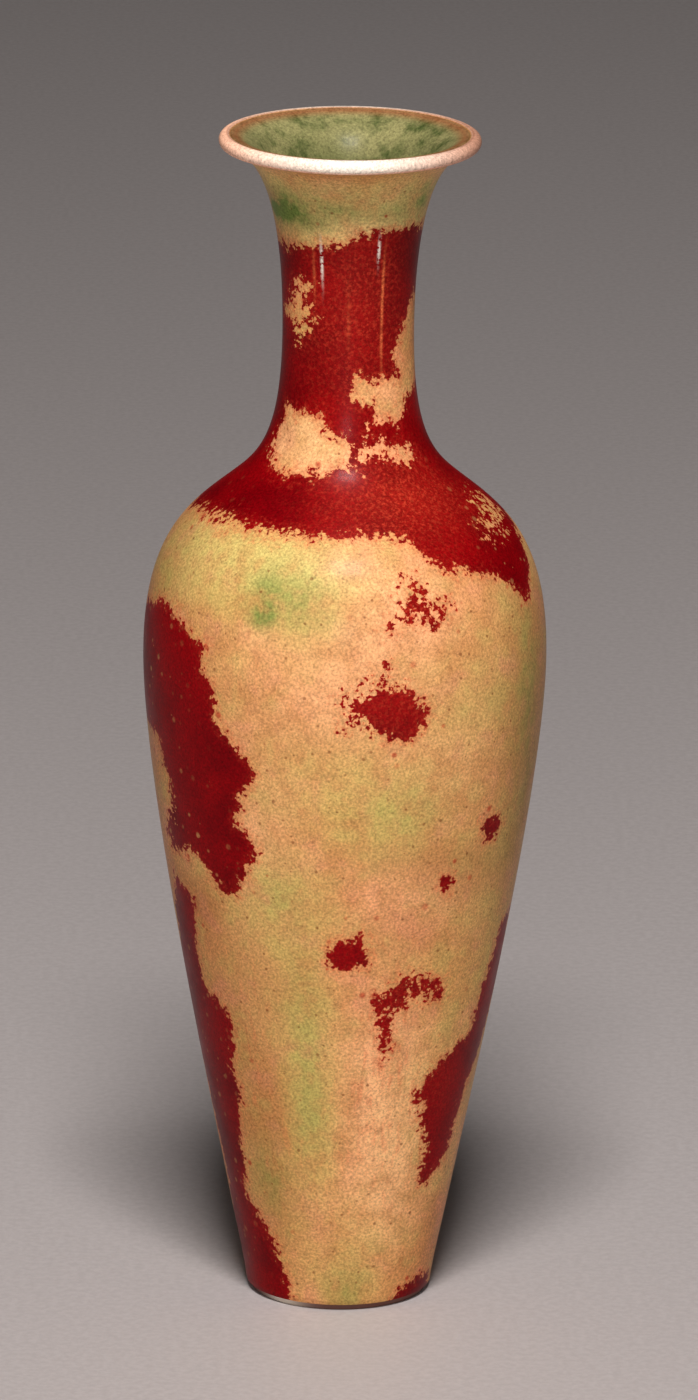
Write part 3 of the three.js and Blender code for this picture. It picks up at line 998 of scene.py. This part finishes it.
def clear_glaze_material():
    material, bench, shader = new_material("clear_glaze")
    grain = bench.noise(bench.place(), CLEAR_GRAIN, 4.0)
    bench.feed(shader.inputs["Base Color"],
               bench.mix(bench.ramp(grain, 0.3, 0.7), CLEAR_LIGHT, CLEAR_DARK))
    dull = bench.maths("MULTIPLY_ADD", specks(bench, *CLEAR_SPECKS), 0.3, 0.12)
    bench.feed(shader.inputs["Roughness"], dull)
    bench.feed(shader.inputs["Normal"], bench.bumped(skin(bench, *CLEAR_SKIN), 0.15, 0.1 * MM))
    return material


def bare_clay_material(name, light, dark):
    material, bench, shader = new_material(name)
    grain = bench.noise(bench.place(), CLAY_GRAIN, 5.0, 0.7)
    stain = bench.noise(bench.place(), CLAY_STAINS, 3.0)
    color = bench.mix(bench.ramp(stain, 0.35, 0.7), light, dark)
    iron = bench.maths("MULTIPLY", specks(bench, *CLAY_SPECKS), 0.5)
    color = bench.mix(iron, color, SPECK_BROWN)
    bench.feed(shader.inputs["Base Color"], bench.painted(color, "kiln_stain", 0.95, KILN_STAIN))
    bench.feed(shader.inputs["Roughness"], bench.ramp(grain, 0.2, 0.8, 0.7, 0.9))
    bench.feed(shader.inputs["Normal"], bench.bumped(grain, 0.3, 0.05 * MM))
    return material


def dress(thing, material):
    thing.data.materials.clear()
    thing.data.materials.append(material)


clear_material = clear_glaze_material()
clay_material = bare_clay_material("porcelain", CLAY_LIGHT, CLAY_DARK)
slip_material = bare_clay_material("luting_slip", SLIP_LIGHT, SLIP_DARK)

dress(red_glaze, red_glaze_material())
dress(inner_glaze, clear_material)
dress(base_glaze, clear_material)
dress(foot_clay, clay_material)
for node in ("shoulder", "neck_and_mouth"):
    dress(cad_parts[node], clay_material)
for node in ("belly_joint_slip", "neck_joint_slip"):
    dress(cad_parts[node], slip_material)


# The floor and the lights, in metres and watts.

FLOOR_SIZE = 12
PAPER_ROUGHNESS = 0.55
VASE_MIDDLE = (0, 0, 0.08)
OVERHEAD_PLACE = (0.0, -0.62, 1.08)
OVERHEAD_SIZE = (0.32, 0.26)
OVERHEAD_POWER = 16.0
FILL_PLACE = (0.0, -1.5, 0.42)
FILL_SIZE = (0.4, 0.3)
FILL_POWER = 6.0
ROOM_COLOR = (1, 0.97, 0.95, 1)
ROOM_STRENGTH = 0.012


def lay_floor():
    bpy.ops.object.select_all(action="DESELECT")
    bpy.ops.mesh.primitive_plane_add(size=FLOOR_SIZE, location=(0, 0, 0))
    floor = bpy.context.object
    floor.name = "floor"
    bpy.ops.object.transform_apply(location=True, rotation=True, scale=True)
    material, bench, shader = new_material("floor_paper")
    tooth = bench.noise(bench.place(), PAPER_TOOTH, 3.0, 0.7)
    bench.feed(shader.inputs["Base Color"],
               bench.mix(bench.ramp(tooth, 0.3, 0.7), PAPER_DARK, PAPER_LIGHT))
    shader.inputs["Roughness"].default_value = PAPER_ROUGHNESS
    dress(floor, material)


def soft_light(name, where, size, power):
    """A rectangular softbox that faces the middle of the vase."""
    lamp = bpy.data.lights.new(name, "AREA")
    lamp.shape = "RECTANGLE"
    lamp.size, lamp.size_y = size
    lamp.energy = power
    holder = bpy.data.objects.new(name, lamp)
    bpy.context.scene.collection.objects.link(holder)
    aim = Vector(VASE_MIDDLE) - Vector(where)
    holder.rotation_euler = aim.to_track_quat("-Z", "Y").to_euler()
    holder.location = where


def fill_the_room():
    world = bpy.data.worlds.new("studio")
    bpy.context.scene.world = world
    world.use_nodes = True
    backdrop = next(n for n in world.node_tree.nodes if n.type == "BACKGROUND")
    backdrop.inputs["Color"].default_value = ROOM_COLOR
    backdrop.inputs["Strength"].default_value = ROOM_STRENGTH


lay_floor()
soft_light("overhead_softbox", OVERHEAD_PLACE, OVERHEAD_SIZE, OVERHEAD_POWER)
soft_light("front_fill", FILL_PLACE, FILL_SIZE, FILL_POWER)
fill_the_room()

bpy.context.scene.view_settings.view_transform = "Standard"
bpy.context.scene.view_settings.look = "None"
